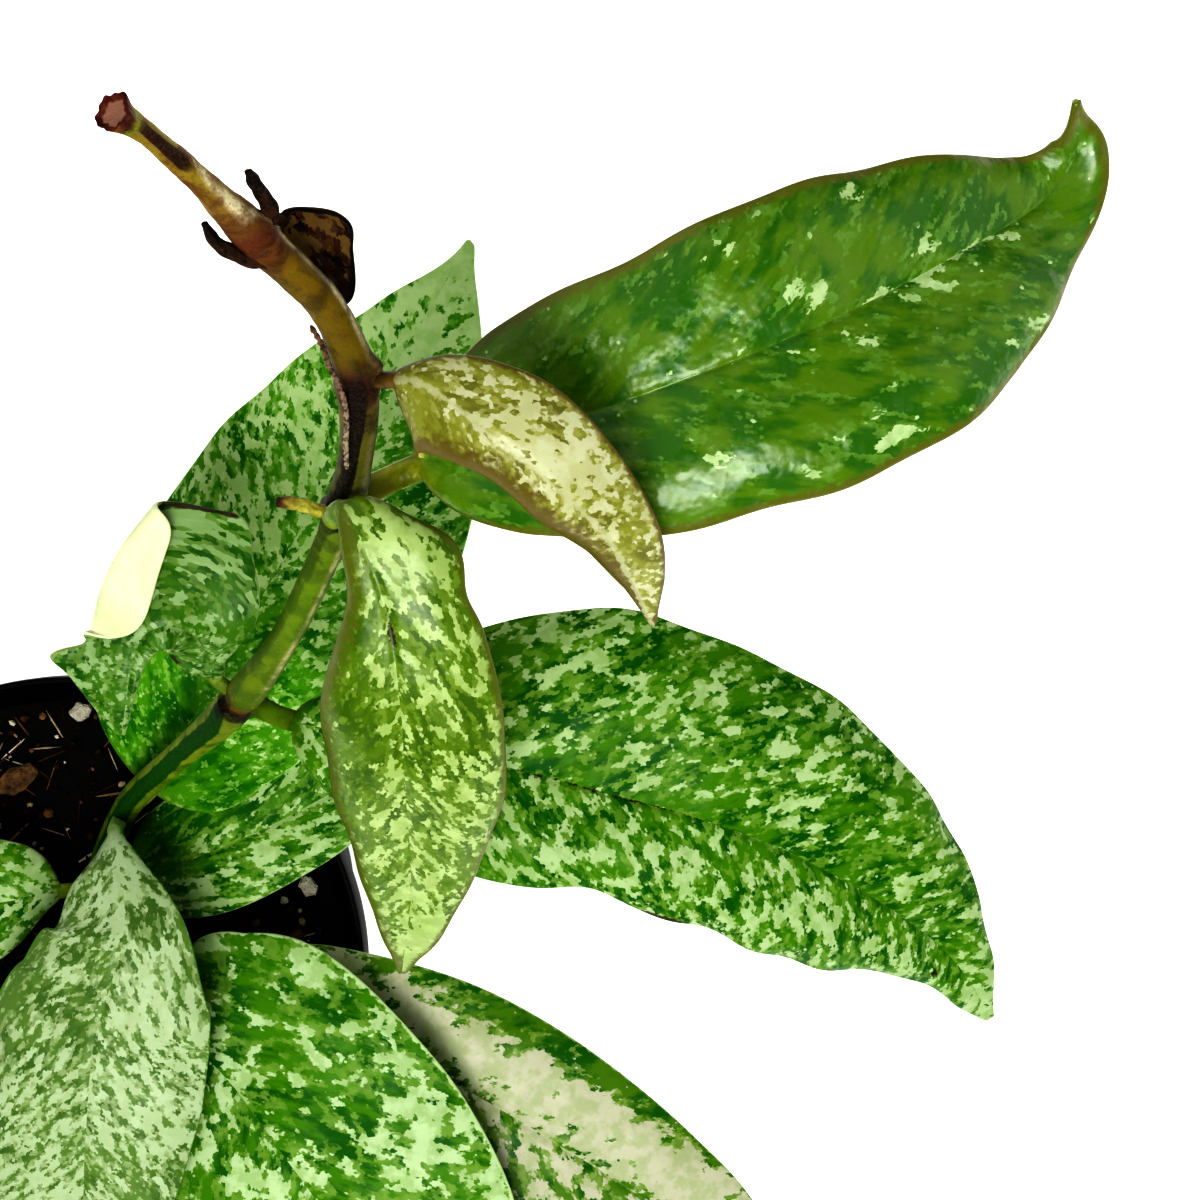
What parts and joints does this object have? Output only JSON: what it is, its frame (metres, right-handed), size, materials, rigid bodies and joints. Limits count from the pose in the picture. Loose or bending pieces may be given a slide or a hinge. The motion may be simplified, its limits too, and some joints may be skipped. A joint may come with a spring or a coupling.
{
  "type": "potted splash hoya pubicalyx plant",
  "caption": "Young climbing hoya in a round nursery pot, with a leaning stem and long waxy leaves splashed with pale flecks.",
  "frame": {"origin": "centre of the pot's flat base, where it rests", "axes": "+Z up out of the pot; the stem leans towards +X and +Y, and +Y is up in the picture seen from above"},
  "size_m": [0.2292, 0.2047, 0.2426],
  "materials": {
    "pot_plastic": "satin black moulded plastic",
    "potting_mix": "damp, dark and crumbly",
    "stem_skin": "smooth green skin turning olive and brown with age",
    "leaf_splashed": "waxy green with pale silvery flecks",
    "leaf_olive": "glossy dark olive green with few flecks",
    "leaf_young": "glossy yellow olive with cream flecks and brown edges",
    "leaf_dry": "dry, dark brown and brittle",
    "stalk_yellow": "smooth yellow stalk with a frayed brown end",
    "root_fibre": "dry pale brown fibre",
    "bark": "rough bark",
    "perlite": "rough, chalky off-white"
  },
  "bodies": {
    "root": {"pot": "pot_plastic", "soil": "potting_mix", "main_stem": "stem_skin", "side_shoot": "stem_skin", "leaf_back": "leaf_splashed", "leaf_right": "leaf_splashed", "leaf_shoot_upper": "leaf_splashed", "leaf_shoot_lower": "leaf_splashed", "leaf_left": "leaf_splashed", "leaf_low_right": "leaf_splashed", "leaf_front": "leaf_splashed", "leaf_curled": "leaf_splashed", "leaf_large": "leaf_olive", "leaf_small": "leaf_young", "leaf_drooping": "leaf_young", "dead_leaf": "leaf_dry", "dry_petiole_right": "leaf_dry", "dry_petiole_left": "leaf_dry", "peduncle_stub": "stalk_yellow", "aerial_rootlet": "root_fibre", "perlite_1": "perlite", "perlite_2": "perlite", "perlite_3": "perlite", "perlite_4": "perlite", "bark_chip_5": "bark", "bark_chip_6": "bark", "bark_chip_7": "bark", "bark_chip_8": "bark", "bark_chip_9": "bark", "bark_chip_10": "bark"}
  },
  "joints": []
}
